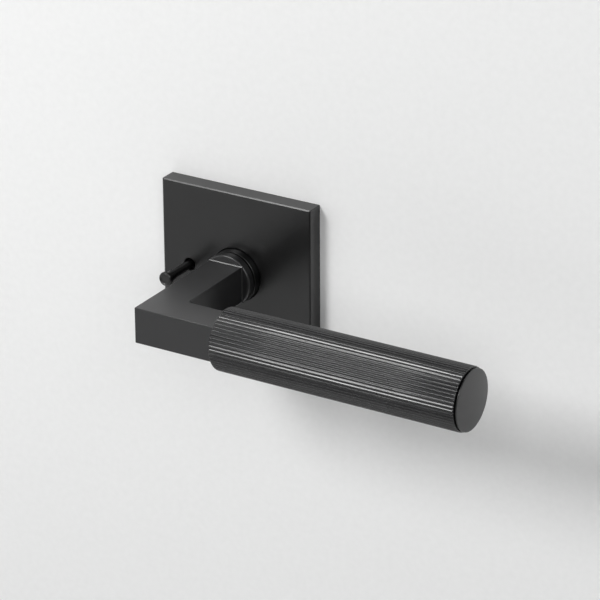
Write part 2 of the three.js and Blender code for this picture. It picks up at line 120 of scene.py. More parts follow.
SPRING_FRONT = math.radians(200)  # from +X towards +Z
SPRING_BACK = SPRING_FRONT + SPRING_TURNS * TAU


# ---------------------------------------------------------------- mesh helpers

SHARP_ANGLE = 32  # degrees between two faces, past which their edge is shaded sharp


def new_object(name, bm, smooth_angle=SHARP_ANGLE):
    """An object from a bmesh, shaded smooth except across edges sharper than the angle."""
    bmesh.ops.recalc_face_normals(bm, faces=bm.faces)
    mesh = bpy.data.meshes.new(name)
    bm.to_mesh(mesh)
    bm.free()
    shade(mesh, smooth_angle)
    piece = bpy.data.objects.new(name, mesh)
    bpy.context.scene.collection.objects.link(piece)
    return piece


def shade(mesh, smooth_angle):
    """Smooth shading that leaves every large face, and every wide strip, flat to its edges."""
    large = 12 * MM * MM
    strip = 4 * MM * MM
    wide = 0.3 * MM
    mesh.set_sharp_from_angle(angle=math.radians(smooth_angle))
    bm = bmesh.new()
    bm.from_mesh(mesh)
    for face in bm.faces:
        area = face.calc_area()
        narrowest = min(edge.calc_length() for edge in face.edges)
        flat = area > large or (area > strip and narrowest > wide)
        face.smooth = not flat
        if flat:
            for edge in face.edges:
                edge.smooth = False
    bm.to_mesh(mesh)
    bm.free()


def rounded(points, radius, closed=False, steps=3):
    """The same outline with each inner corner turned into a short curve."""
    count = len(points)
    result = []
    for i, point in enumerate(points):
        corner = Vector(point)
        if not closed and i in (0, count - 1):
            result.append(tuple(corner))
            continue
        before = Vector(points[i - 1]) - corner
        after = Vector(points[(i + 1) % count]) - corner
        reach = min(radius, before.length * 0.45, after.length * 0.45)
        start = corner + before.normalized() * reach
        end = corner + after.normalized() * reach
        for k in range(steps + 1):
            t = k / steps
            result.append(tuple((1 - t) ** 2 * start + 2 * t * (1 - t) * corner + t * t * end))
    return result


def add_rings(bm, rings, closed_loop):
    """Quads between neighbouring rings of points; a ring of one point is a pole."""
    made = [[bm.verts.new(point) for point in ring] for ring in rings]
    pairs = list(zip(made, made[1:]))
    if closed_loop:
        pairs.append((made[-1], made[0]))
    for near, far in pairs:
        count = max(len(near), len(far))
        for i in range(count):
            j = (i + 1) % count
            corners = [
                near[i % len(near)],
                near[j % len(near)],
                far[j % len(far)],
                far[i % len(far)],
            ]
            unique = list(dict.fromkeys(corners))
            if len(unique) > 2:
                bm.faces.new(unique)
    return made


def add_turned(bm, profile, along="Y", centre=(0, 0, 0), sides=96, closed=False):
    """A turned form from (radius, place along the axis) points, in metres."""
    middle = Vector(centre)
    rings = []
    for radius, place in profile:
        angles = [0] if radius < 1e-9 else [TAU * i / sides for i in range(sides)]
        ring = []
        for angle in angles:
            u, v = radius * math.cos(angle), radius * math.sin(angle)
            ring.append(middle + (Vector((u, place, v)) if along == "Y" else Vector((place, u, v))))
        rings.append(ring)
    add_rings(bm, rings, closed)
    return bm


def turned(name, profile, radius=0.15 * MM, **options):
    """A turned piece whose corners are slightly rounded."""
    closed = options.get("closed", False)
    bm = add_turned(bmesh.new(), rounded(profile, radius, closed), **options)
    return new_object(name, bm)


def add_box(bm, low, high):
    size = Vector(high) - Vector(low)
    centre = (Vector(high) + Vector(low)) / 2
    matrix = Matrix.Translation(centre) @ Matrix.Diagonal((*size, 1))
    bmesh.ops.create_cube(bm, size=1, matrix=matrix)


def box_object(name, low, high):
    bm = bmesh.new()
    add_box(bm, low, high)
    return new_object(name, bm)


def combine(piece, tool, operation="DIFFERENCE"):
    """Cuts or joins two closed objects for good; the tool is used up."""
    modifier = piece.modifiers.new("combine", "BOOLEAN")
    modifier.operation = operation
    modifier.solver = "MANIFOLD"
    modifier.object = tool
    graph = bpy.context.evaluated_depsgraph_get()
    old = piece.data
    piece.data = bpy.data.meshes.new_from_object(piece.evaluated_get(graph))
    piece.modifiers.clear()
    bpy.data.meshes.remove(old)
    bpy.data.objects.remove(tool)
    shade(piece.data, SHARP_ANGLE)


def put(piece, body, slot, material, *nodes):
    """Gives a finished piece its material and its body, and hides the CAD nodes it stands for."""
    piece.data.materials.clear()
    piece.data.materials.append(material)
    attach(piece, body)
    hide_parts(*nodes)


# ---------------------------------------------------------------- materials

class Nodes:
    """Short calls for building one material's node tree."""

    def __init__(self, name):
        self.material = bpy.data.materials.new(name)
        self.material.use_nodes = True
        self.tree = self.material.node_tree
        self.shader = self.tree.nodes["Principled BSDF"]
        self.place = self.add("ShaderNodeTexCoord").outputs["Object"]

    def add(self, kind, **values):
        node = self.tree.nodes.new(kind)
        for key, value in values.items():
            setattr(node, key, value)
        return node

    def link(self, source, target):
        self.tree.links.new(source, target)

    def stretched(self, scale):
        """Object coordinates multiplied on each axis, for grain that runs one way."""
        mapping = self.add("ShaderNodeMapping")
        mapping.inputs["Scale"].default_value = scale
        self.link(self.place, mapping.inputs["Vector"])
        return mapping.outputs["Vector"]

    def noise(self, scale, detail=3.0, where=None):
        node = self.add("ShaderNodeTexNoise")
        node.inputs["Scale"].default_value = scale
        node.inputs["Detail"].default_value = detail
        self.link(where or self.place, node.inputs["Vector"])
        return node.outputs["Fac"]

    def spread(self, value, low, high):
        """A noise value turned into a number between low and high."""
        node = self.add("ShaderNodeMapRange")
        node.inputs["From Min"].default_value = 0.3
        node.inputs["From Max"].default_value = 0.7
        node.inputs["To Min"].default_value = low
        node.inputs["To Max"].default_value = high
        self.link(value, node.inputs["Value"])
        return node.outputs["Result"]

    def ramp(self, value, *stops):
        """A colour picked by a noise value from (place, colour) stops."""
        node = self.add("ShaderNodeValToRGB")
        elements = node.color_ramp.elements
        while len(elements) < len(stops):
            elements.new(0.5)
        for element, (place, colour) in zip(elements, stops):
            element.position = place
            element.color = (*colour, 1)
        self.link(value, node.inputs["Fac"])
        return node.outputs["Color"]

    def bump(self, height, strength, distance, under=None):
        node = self.add("ShaderNodeBump")
        node.inputs["Strength"].default_value = strength
        node.inputs["Distance"].default_value = distance
        self.link(height, node.inputs["Height"])
        if under:
            self.link(under, node.inputs["Normal"])
        return node.outputs["Normal"]


def black_coat(name, roughness=0.3, grain=0.06, lift=1.0):
    """Satin black coating: a fine pebbled surface with a faint unevenness in its gloss."""
    n = Nodes(name)
    cloud = n.noise(55, 4)
    fine = n.noise(1700, 3)
    dark = tuple(lift * c for c in (0.0105, 0.0105, 0.0112))
    pale = tuple(lift * c for c in (0.0145, 0.0145, 0.0152))
    colour = n.ramp(cloud, (0.3, dark), (0.7, pale))
    n.link(colour, n.shader.inputs["Base Color"])
    n.link(n.spread(cloud, roughness - 0.03, roughness + 0.03), n.shader.inputs["Roughness"])
    n.link(n.bump(fine, grain, 0.02 * MM), n.shader.inputs["Normal"])
    n.shader.inputs["IOR"].default_value = 1.6
    return n.material


def plated_steel(name, tint=(0.60, 0.61, 0.63), roughness=0.34):
    """Zinc-plated steel: crystalline bloom, faint straw and blue stains, fine rolling lines."""
    n = Nodes(name)
    bloom = n.noise(260, 5)
    lines = n.noise(900, 2, n.stretched((1, 1, 0.04)))
    pale = tuple(min(1, c * 1.12) for c in tint)
    straw = (tint[0] * 1.05, tint[1] * 1.0, tint[2] * 0.86)
    colour = n.ramp(bloom, (0.3, tint), (0.5, pale), (0.7, straw))
    n.link(colour, n.shader.inputs["Base Color"])
    n.link(n.spread(bloom, roughness - 0.07, roughness + 0.08), n.shader.inputs["Roughness"])
    n.link(n.bump(lines, 0.12, 0.02 * MM), n.shader.inputs["Normal"])
    n.shader.inputs["Metallic"].default_value = 1
    return n.material


def oiled_steel(name):
    """Dark hardened steel with an oily, streaked gloss."""
    n = Nodes(name)
    streak = n.noise(700, 4, n.stretched((1, 0.3, 1)))
    colour = n.ramp(streak, (0.35, (0.10, 0.105, 0.115)), (0.65, (0.19, 0.195, 0.205)))
    n.link(colour, n.shader.inputs["Base Color"])
    n.link(n.spread(streak, 0.22, 0.38), n.shader.inputs["Roughness"])
    n.link(n.bump(streak, 0.1, 0.02 * MM), n.shader.inputs["Normal"])
    n.shader.inputs["Metallic"].default_value = 1
    return n.material


def black_nylon(name):
    """Moulded black nylon: dull, with a spark-eroded texture."""
    n = Nodes(name)
    texture = n.noise(2600, 3)
    colour = n.ramp(texture, (0.35, (0.016, 0.016, 0.018)), (0.65, (0.026, 0.026, 0.028)))
    n.link(colour, n.shader.inputs["Base Color"])
    n.link(n.spread(texture, 0.45, 0.6), n.shader.inputs["Roughness"])
    n.link(n.bump(texture, 0.25, 0.03 * MM), n.shader.inputs["Normal"])
    return n.material


def wall_paint(name):
    """Pale matt paint on the side that faces the room; nothing on the side inside the wall."""
    n = Nodes(name)
    roller = n.noise(380, 4)
    colour = n.ramp(roller, (0.3, (0.875, 0.877, 0.873)), (0.7, (0.9, 0.902, 0.898)))
    n.link(colour, n.shader.inputs["Base Color"])
    n.link(n.bump(roller, 0.03, 0.05 * MM), n.shader.inputs["Normal"])
    n.shader.inputs["Roughness"].default_value = 0.65
    mix = n.add("ShaderNodeMixShader")
    n.link(n.add("ShaderNodeNewGeometry").outputs["Backfacing"], mix.inputs["Fac"])
    n.link(n.shader.outputs["BSDF"], mix.inputs[1])
    n.link(n.add("ShaderNodeBsdfTransparent").outputs["BSDF"], mix.inputs[2])
    n.link(mix.outputs["Shader"], n.tree.nodes["Material Output"].inputs["Surface"])
    return n.material


# Painted shade: this copy of the lever's satin black has its colour cut to 0.15 of the lever's, so the
# cover, its collar and the pin read darker, as if shaded by the lever.
SHADED_ROSE_COAT = black_coat("satin_black_rose_painted_shade", roughness=0.33, lift=0.15)
LEVER_COAT = black_coat("satin_black_lever", lift=1.0)
GRIP_COAT = black_coat("satin_black_reeds", roughness=0.25, grain=0.02, lift=0.9)
PLATED = plated_steel("zinc_plated")
DARK_STEEL = oiled_steel("oiled_spring_steel")
NYLON = black_nylon("black_nylon")


# ---------------------------------------------------------------- rose

def slice_through_holes(bm):
    """Divides every face on the lines through the holes' centres, so no face has a hole in it."""
    for point, normal in (
        ((0, 0, PIN_Z), (0, 0, 1)),
        ((0, 0, 0), (1, 0, 0)),
        ((PIN_X, 0, 0), (1, 0, 0)),
    ):
        everything = list(bm.verts) + list(bm.edges) + list(bm.faces)
        bmesh.ops.bisect_plane(bm, geom=everything, plane_co=point, plane_no=normal)


def square_ring(half, y, corner):
    """A square outline round the Y axis with rounded corners."""
    steps = 4
    ring = []
    for quarter in range(4):
        start = math.pi / 2 * quarter
        reach = half - corner
        x = reach * (1 if quarter in (0, 3) else -1)
        z = reach * (1 if quarter in (0, 1) else -1)
        for k in range(steps + 1):
            angle = start + math.pi / 2 * k / steps
            ring.append((x + corner * math.cos(angle), y, z + corner * math.sin(angle)))
    return ring


def square_block(sections, corner=0.3 * MM):
    """A block along Y through square sections given as (half side, y)."""
    bm = bmesh.new()
    made = add_rings(bm, [square_ring(half, y, corner) for half, y in sections], False)
    bm.faces.new(made[0])
    bm.faces.new(made[-1])
    return bm


def make_rose():
    """The square cover: bevelled front, hollow back, and holes for the collar and the pin."""
    across = 0.46 * MM
    depth = 0.3 * MM
    soft = 0.07 * MM
    bm = square_block([
        (ROSE_HALF, 0),
        (ROSE_HALF, ROSE_FRONT + depth + soft),
        (ROSE_HALF - 0.3 * soft, ROSE_FRONT + depth),
        (ROSE_HALF - across, ROSE_FRONT + 0.3 * soft),
        (ROSE_HALF - across - soft, ROSE_FRONT),
    ])
    slice_through_holes(bm)
    rose = new_object("rose_shell", bm)
    inner = ROSE_HALF - ROSE_WALL
    past_the_door = 5 * MM
    hollow = bmesh.new()
    add_box(hollow, (-inner, ROSE_FRONT + ROSE_WALL, -inner), (inner, past_the_door, inner))
    slice_through_holes(hollow)
    combine(rose, new_object("t", hollow))
    neck_hole = NECK_RADIUS + 0.28 * MM
    cut_round(rose, neck_hole, 0, 0, chamfer=0.12 * MM, sides=128)
    cut_round(rose, PIN_HOLE_RADIUS, PIN_X, PIN_Z, chamfer=0.3 * MM, sides=64)
    combine(rose, upright_hole("rose_set_screw", 1.8 * MM, 5 * MM, -ROSE_HALF))
    put(rose, "rose", "black_finish", SHADED_ROSE_COAT, "rose_cover")


def upright_hole(screw, radius, depth, z):
    """A cutter along Z, centred on the height given, on the axis of a CAD set screw."""
    low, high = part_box(screw)
    out = (low[1] + high[1]) / 2
    bm = bmesh.new()
    bmesh.ops.create_cone(
        bm, cap_ends=True, segments=48, radius1=radius, radius2=radius, depth=depth,
        matrix=Matrix.Translation((0, out, z)),
    )
    return new_object("t", bm)


def cut_round(piece, radius, x, z, chamfer, sides):
    """A hole through the rose's front with a small chamfer at its mouth."""
    over = 1 * MM
    profile = [
        (0, ROSE_FRONT - over),
        (radius + chamfer + over, ROSE_FRONT - over),
        (radius, ROSE_FRONT + chamfer),
        (radius, 3 * MM),
        (0, 3 * MM),
    ]
    bm = add_turned(bmesh.new(), profile, centre=(x, 0, z), sides=sides)
    combine(piece, new_object("t", bm))


def make_collar():
    """The round collar that stands out of the cover, with its flange behind it."""
    front, back = span("rose_collar", 1)
    flange = span("rose_collar", 0)[1]
    flange_front = ROSE_FRONT + ROSE_WALL + GAP
    collar = turned("neck_collar", [
        (COLLAR_BORE, back), (COLLAR_BORE, front), (NECK_RADIUS, front),
        (NECK_RADIUS, flange_front), (flange, flange_front), (flange, back),
    ], radius=0.35 * MM, closed=True, sides=128)
    put(collar, "rose", "black_finish", SHADED_ROSE_COAT, "rose_collar")


# ---------------------------------------------------------------- lever

def make_arm():
    """One mitred square bar with its neck disc, hollow shank and the spigot inside the grip."""
    edge = 0.22 * MM
    bar_end = GRIP_LOW[0] - GAP
    into_disc = 0.4 * MM
    back_face = ARM_FRONT + 2 * BAR_HALF
    fillet = 2 * MM
    outline = [
        (-BAR_HALF, ARM_FRONT), (bar_end, ARM_FRONT),
        (bar_end, back_face), (BAR_HALF + fillet, back_face),
        *[(BAR_HALF + fillet - fillet * math.sin(a), back_face + fillet - fillet * math.cos(a))
          for a in (math.pi / 12 * k for k in range(1, 6))],
        (BAR_HALF, back_face + fillet), (BAR_HALF, NECK_FRONT + into_disc),
        (-BAR_HALF, NECK_FRONT + into_disc),
    ]
    bm = bmesh.new()
    low = [bm.verts.new((x, y, -BAR_HALF)) for x, y in outline]
    high = [bm.verts.new((x, y, BAR_HALF)) for x, y in outline]
    bm.faces.new(low)
    bm.faces.new(high)
    for i in range(len(outline)):
        j = (i + 1) % len(outline)
        bm.faces.new((low[i], low[j], high[j], high[i]))
    bmesh.ops.recalc_face_normals(bm, faces=bm.faces)
    corner_angle = 0.7  # radians; less between the facets of the fillet
    sharp = [e for e in bm.edges if e.calc_face_angle() > corner_angle]
    bmesh.ops.bevel(bm, geom=sharp, offset=edge, segments=3, profile=0.5, affect="EDGES")
    arm = new_object("lever_bar", bm)

    combine(arm, weld_skirt(), "UNION")
    combine(arm, neck_disc(), "UNION")

    spigot_end = bar_end + SPIGOT_LENGTH
    root = 6 * MM
    spigot = add_turned(bmesh.new(), [
        (0, bar_end - 1 * MM), (root, bar_end - 1 * MM), (root, bar_end),
        (SPIGOT_RADIUS, bar_end), (SPIGOT_RADIUS, spigot_end - 0.8 * MM),
        (SPIGOT_RADIUS - 0.8 * MM, spigot_end), (0, spigot_end),
    ], along="X", centre=(0, GRIP_Y, 0), sides=64)
    combine(arm, new_object("t", spigot), "UNION")

    bore_front = span("spindle", 1)[0] - GAP
    combine(arm, box_object("t", (-BORE_HALF, bore_front, -BORE_HALF), (BORE_HALF, 0, BORE_HALF)))
    combine(arm, upright_hole("lever_set_screw", 2.4 * MM, 6 * MM, -BAR_HALF))
    tapped = 2.8 * MM
    thread = add_turned(bmesh.new(), [
        (0, bar_end + 4 * MM), (tapped, bar_end + 4 * MM),
        (tapped, spigot_end + 1 * MM), (0, spigot_end + 1 * MM),
    ], along="X", centre=(0, GRIP_Y, 0), sides=48)
    combine(arm, new_object("t", thread))
    put(arm, "lever", "black_finish", LEVER_COAT, "lever_arm")


def weld_skirt():
    """The low sloping collar of weld where the bar meets the disc."""
    spread = 0.35 * MM
    height = 0.24 * MM
    sink = 0.05 * MM
    lift = 0.02 * MM
    skirt = bmesh.new()
    corners = [(-1, -1), (1, -1), (1, 1), (-1, 1)]
    made = add_rings(skirt, [
        [(half * x, y, half * z) for x, z in corners]
        for half, y in (
            (BAR_HALF + spread, NECK_FRONT + 0.2 * MM),
            (BAR_HALF + spread, NECK_FRONT - lift),
            (BAR_HALF - sink, NECK_FRONT - height - lift),
        )
    ], False)
    skirt.faces.new(made[0])
    skirt.faces.new(made[-1])
    return new_object("t", skirt)


def neck_disc():
    """The round disc behind the bar, with a quarter-round front edge, and the shank behind it."""
    back = span("rose_collar", 1)[0] - 1 * MM
    soft = 0.12 * MM
    edge_radius = 0.7 * MM
    quarter = [math.pi / 2 * k / 8 for k in range(9)]
    front_edge = [
        (NECK_RADIUS - edge_radius * (1 - math.sin(a)), NECK_FRONT + edge_radius * (1 - math.cos(a)))
        for a in quarter
    ]
    profile = [
        (0, NECK_FRONT), *front_edge,
        (NECK_RADIUS, back - soft), (NECK_RADIUS - soft, back),
        (SHANK_RADIUS, back), (SHANK_RADIUS, ARM_SHANK_BACK), (0, ARM_SHANK_BACK),
    ]
    return new_object("t", add_turned(bmesh.new(), profile, sides=128))


def make_grip():
    """The reeded tube: V-shaped reeds with rounded crests and valleys, turned down at the ends."""
    per_reed = 12
    depth = 0.33 * MM
    sharpness = 0.8  # 0 for a plain wave, 1 for straight flanks
    bore = SLEEVE_BORE
    bore_chamfer = 0.2 * MM
    start, end = GRIP_LOW[0], GRIP_HIGH[0]
    lead = 0.45 * MM
    stations = [
        (start, 1.0), (start + 0.1 * MM, 0.75), (start + 0.25 * MM, 0.4), (start + lead, 0.0),
        (start + 25 * MM, 0.0), (end - 25 * MM, 0.0),
        (end - lead, 0.0), (end - 0.25 * MM, 0.4), (end - 0.1 * MM, 0.75), (end, 1.0),
    ]
    count = REEDS * per_reed

    def surface(i, drop):
        wave = math.cos(TAU * (i % per_reed) / per_reed)
        height = math.asin(sharpness * wave) / math.asin(sharpness)
        valley = depth * (1 - height) / 2
        return GRIP_RADIUS - max(valley, drop * depth)

    rings = []
    for x, drop in stations:
        ring = []
        for i in range(count):
            angle = TAU * i / count
            radius = surface(i, drop)
            ring.append((x, GRIP_Y + radius * math.cos(angle), radius * math.sin(angle)))
        rings.append(ring)
    inside = [
        (end, bore + bore_chamfer), (end - bore_chamfer, bore),
        (start + bore_chamfer, bore), (start, bore + bore_chamfer),
    ]
    for x, radius in inside:
        rings.append([
            (x, GRIP_Y + radius * math.cos(TAU * i / count), radius * math.sin(TAU * i / count))
            for i in range(count)
        ])
    bm = bmesh.new()
    add_rings(bm, rings, True)
    grip = new_object("reeded_tube", bm, smooth_angle=50)
    put(grip, "lever", "black_finish", GRIP_COAT, "grip_sleeve")


def make_end_cap():
    """A turned cap: a disc, a fine shadow groove behind it and a hollow boss inside the tube."""
    face = CAP_END
    disc = GRIP_RADIUS - 0.5 * MM
    groove = GRIP_RADIUS - 1.2 * MM
    disc_back = face - 0.45 * MM
    rim_back = GRIP_HIGH[0] + GAP
    boss = span("end_cap", 0)[0]
    floor = face - 2.6 * MM
    hollow = 6.4 * MM
    cap = turned("grip_cap", [
        (0, face), (disc, face), (disc, disc_back), (groove, disc_back), (groove, rim_back),
        (SPIGOT_RADIUS, rim_back), (SPIGOT_RADIUS, boss), (hollow, boss),
        (hollow, floor), (0, floor),
    ], radius=0.2 * MM, along="X", centre=(0, GRIP_Y, 0), sides=160)
    put(cap, "lever", "black_finish", LEVER_COAT, "end_cap")


# ---------------------------------------------------------------- privacy pin

def make_pin():
    """The dished button, and the grooved rod with its flattened tip."""
    front, back = PIN_LOW[1], PIN_HIGH[1]
    radius = (PIN_HIGH[0] - PIN_LOW[0]) / 2
    dish = 0.3 * MM
    where = (PIN_X, 0, PIN_Z)
    head = turned("pin_button", [
        (0, front + dish), (radius * 0.62, front + dish), (radius * 0.74, front),
        (radius * 0.86, front), (radius, front + 0.4 * MM), (radius, back), (0, back),
    ], radius=0.12 * MM, centre=where, sides=64)
    put(head, "privacy_pin", "black_finish", SHADED_ROSE_COAT, "pin_head")

    start, end = span("pin_rod", 1)
    clip_front, clip_back = span("pin_clip", 1)
    neck = start - 0.25 * MM
    shaft = turned("pin_shaft", [
        (0, neck), (PIN_BARREL_RADIUS, neck), (PIN_BARREL_RADIUS, start + 3.2 * MM),
        (PIN_ROD_RADIUS, start + 3.5 * MM), (PIN_ROD_RADIUS, clip_front - GROOVE_SLACK),
        (PIN_GROOVE_RADIUS, clip_front - GROOVE_SLACK), (PIN_GROOVE_RADIUS, clip_back + GROOVE_SLACK),
        (PIN_ROD_RADIUS, clip_back + GROOVE_SLACK), (PIN_ROD_RADIUS, end), (0, end),
    ], radius=0.15 * MM, centre=where, sides=48)
    flat_start = end - 9 * MM
    flat_half = 0.6 * MM
    cut = 2 * MM
    high = 5 * MM
    for side in (-1, 1):
        low = PIN_X + (flat_half if side > 0 else -flat_half - cut)
        flat = box_object("t", (low, flat_start, -high), (low + cut, end + 1 * MM, high))
        combine(shaft, flat)
    put(shaft, "privacy_pin", "black_finish", SHADED_ROSE_COAT, "pin_rod")


# ---------------------------------------------------------------- behind the rose

def hole_tool(radius, y0, y1, mouth=0, x=0, z=0, sides=48):
    """A cutter along Y from y0 to y1 that countersinks both ends by the mouth."""
    over = 1 * MM
    profile = [
        (0, y0 - over), (radius + mouth + over, y0 - over), (radius, y0 + mouth),
        (radius, y1 - mouth), (radius + mouth + over, y1 + over), (0, y1 + over),
    ]
    if mouth == 0:
        profile = [(0, y0), (radius, y0), (radius, y1), (0, y1)]
    return new_object("t", add_turned(bmesh.new(), profile, centre=(x, 0, z), sides=sides))


def slice_at(bm, places):
    """Divides every face on the lines through these (x, z) places."""
    for x, z in places:
        for point, normal in (((x, 0, 0), (1, 0, 0)), ((0, 0, z), (0, 0, 1))):
            everything = list(bm.verts) + list(bm.edges) + list(bm.faces)
            bmesh.ops.bisect_plane(bm, geom=everything, plane_co=point, plane_no=normal)


def add_sector(bm, inner, outer, start, end, y0, y1, x=0, z=0, edge=0.12 * MM):
    """Part of a ring about Y with broken edges; angles in degrees from +X towards +Z."""
    section = [
        (inner + edge, y0), (outer - edge, y0), (outer, y0 + edge), (outer, y1 - edge),
        (outer - edge, y1), (inner + edge, y1), (inner, y1 - edge), (inner, y0 + edge),
    ]
    steps = max(6, round(abs(end - start) / 4))
    rings = []
    for k in range(steps + 1):
        angle = math.radians(start + (end - start) * k / steps)
        c, v = math.cos(angle), math.sin(angle)
        rings.append([(x + radius * c, y, z + radius * v) for radius, y in section])
    made = add_rings(bm, rings, False)
    bm.faces.new(made[0])
    bm.faces.new(made[-1])
    return bm


def circle(radii, y):
    """A ring of points about the Y axis, one at each of the radii."""
    turns = [TAU * i / len(radii) for i in range(len(radii))]
    return [(r * math.cos(a), y, r * math.sin(a)) for r, a in zip(radii, turns)]


def add_screw(head_radius, head_height, radius, length, pitch, plain=0.0, sides=32, point=0.5 * MM):
    """A pan head from y = 0 to its height, or none, then a shank with a rolled thread."""
    crown = 0.35 * MM
    outline = [
        (head_radius - 2.2 * crown, 0), (head_radius - crown, 0.15 * crown),
        (head_radius - 0.3 * crown, 0.6 * crown), (head_radius, 1.5 * crown),
        (head_radius, head_height - 0.15 * MM), (head_radius - 0.15 * MM, head_height),
        (radius + 0.25 * MM, head_height), (radius, head_height + 0.25 * MM),
    ]
    if head_height == 0:
        outline = [(radius - point, 0), (radius - 0.05 * MM, 0.9 * point)]
    rings = [[(0, 0, 0)]] + [circle([r] * sides, y) for r, y in outline]
    per_turn = 6
    depth = 0.3 * pitch
    begin = max(outline[-1][1], head_height + plain)
    count = round((length - begin) / pitch * per_turn)
    for k in range(count + 1):
        y = begin + (length - begin) * k / count
        fade = min(1, (y - begin) / pitch, (length - y) / (0.3 * pitch))
        largest = radius - point + (length - y)
        waves = [0.5 - 0.5 * math.cos(TAU * (y / pitch - i / sides)) for i in range(sides)]
        rings.append(circle([min(radius - depth * wave * fade, largest) for wave in waves], y))
    rings.append([(0, length, 0)])
    bm = bmesh.new()
    add_rings(bm, rings, False)
    return bm


def make_screw(name, place, facing, key, body, material, **sizes):
    """A screw with a hexagonal key socket; facing turns its length from +Y to where it points."""
    screw = new_object(name, add_screw(**sizes), smooth_angle=50)
    head = sizes["head_height"] or sizes["length"] / 2
    combine(screw, hole_tool(key, -1 * MM, head * 0.65, sides=6))
    screw.data.transform(Matrix.Translation(place) @ facing)
    slot = "zinc_steel" if material is PLATED else "spring_steel"
    put(screw, body, slot, material, name)


ALONG_Y = Matrix.Identity(4)
BACK_TO_FRONT = Matrix.Rotation(math.pi, 4, "X")
UPWARDS = Matrix.Rotation(math.pi / 2, 4, "X")


def make_screws():
    """Two through bolts, two housing screws, two set screws and the grip's tie screw."""
    for node in ("mounting_bolt_upper", "mounting_bolt_lower"):
        low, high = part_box(node)
        make_screw(
            node, ((low[0] + high[0]) / 2, low[1], (low[2] + high[2]) / 2), ALONG_Y, 1.7 * MM,
            "rose", PLATED, head_radius=(high[0] - low[0]) / 2, head_height=2.3 * MM,
            radius=2 * MM, length=high[1] - low[1], pitch=0.8 * MM, plain=5 * MM, point=0.7 * MM,
        )
    for node in ("housing_screw_upper", "housing_screw_lower"):
        low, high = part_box(node)
        make_screw(
            node, ((low[0] + high[0]) / 2, high[1], (low[2] + high[2]) / 2), BACK_TO_FRONT, 1.1 * MM,
            "rose", PLATED, head_radius=(high[0] - low[0]) / 2, head_height=1.6 * MM,
            radius=1.2 * MM, length=high[1] - low[1], pitch=0.5 * MM, point=0.3 * MM,
        )
    for node, body in (("rose_set_screw", "rose"), ("lever_set_screw", "lever")):
        low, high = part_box(node)
        radius = (high[0] - low[0]) / 2
        make_screw(
            node, (0, (low[1] + high[1]) / 2, low[2]), UPWARDS, radius / 2,
            body, DARK_STEEL, head_radius=0, head_height=0,
            radius=radius, length=high[2] - low[2], pitch=0.5 * MM, point=0.3 * MM,
        )
    low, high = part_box("grip_tie_screw")
    along_grip = Matrix.Rotation(math.pi / 2, 4, "Z")
    make_screw(
        "grip_tie_screw", (high[0], GRIP_Y, 0), along_grip, 2.3 * MM, "lever", PLATED,
        head_radius=(high[2] - low[2]) / 2, head_height=2.6 * MM, radius=2.5 * MM,
        length=high[0] - low[0], pitch=0.8 * MM, plain=30 * MM, point=0.6 * MM,
    )


def make_plate():
    """The square plate under the cover, with broken edges and countersunk holes."""
    low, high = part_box("mounting_plate")
    half = high[0]
    front = low[1]
    soft = 0.25 * MM
    bolt_z = sum(span("mounting_bolt_upper", 2)) / 2
    shank_hole = SHANK_RADIUS + 2 * GAP
    bolt_hole = 2.3 * MM
    guide_hole = 3.3 * MM
    holes = [
        (0, 0, shank_hole), (0, bolt_z, bolt_hole), (0, -bolt_z, bolt_hole),
        (LUG_PLACE, LUG_PLACE, LUG_SCREW_HOLE), (-LUG_PLACE, -LUG_PLACE, LUG_SCREW_HOLE),
        (PIN_X, PIN_Z, guide_hole),
    ]
    bm = square_block([
        (half - soft, front), (half, front + soft), (half, -soft), (half - soft, 0),
    ], corner=1.2 * MM)
    slice_at(bm, [(x, z) for x, z, _ in holes])
    plate = new_object("plate", bm)
    for x, z, radius in holes:
        combine(plate, hole_tool(radius, front, 0, mouth=0.12 * MM, x=x, z=z, sides=64))
    put(plate, "rose", "zinc_steel", PLATED, "mounting_plate")


def spring_hole(angle, y0, y1):
    """A cutter for the hole that takes one of the spring's legs."""
    place = SPRING_RADIUS * Vector((math.cos(angle), math.sin(angle)))
    return hole_tool(1.5 * MM, y0, y1, x=place[0], z=place[1], sides=32)


def make_housing():
    """The drawn cup over the spring, with its two screw lugs and the block between the stops."""
    front, back = span("spring_housing", 1)
    mouth = SHANK_RADIUS + 0.5 * MM
    inner = HOUSING_RADIUS - HOUSING_WALL
    floor = back - HOUSING_WALL
    housing = turned("spring_cup", [
        (mouth, floor), (inner, floor), (inner, front),
        (HOUSING_RADIUS, front), (HOUSING_RADIUS, back), (mouth, back),
    ], radius=0.7 * MM, closed=True, sides=128)
    lug_radius = 3.6 * MM
    lug_back = 3.2 * MM
    places = [side * LUG_PLACE for side in (-1, 1)]
    for place in places:
        boss = turned("t", [
            (0, front), (lug_radius, front), (lug_radius, lug_back), (0, lug_back),
        ], radius=0.25 * MM, centre=(place, 0, place), sides=48)
        combine(housing, boss, "UNION")
    stop_inner = HUB_FLANGE_RADIUS + 0.4 * MM
    stop_start = UP + STOP_LUG_HALF_ANGLE + STOP_SLACK
    stop_end = 360 + UP - LEVER_TURN - STOP_LUG_HALF_ANGLE - STOP_SLACK
    stop = add_sector(
        bmesh.new(), stop_inner, inner + 0.5 * MM, stop_start, stop_end,
        front + 0.05 * MM, HUB_FLANGE_BACK,
    )
    combine(housing, new_object("t", stop), "UNION")
    for place in places:
        combine(housing, hole_tool(LUG_SCREW_HOLE, -1 * MM, lug_back + 1.2 * MM, x=place, z=place))
    combine(housing, spring_hole(SPRING_BACK, floor - 1 * MM, back + 1 * MM))
    put(housing, "rose", "zinc_steel", PLATED, "spring_housing")


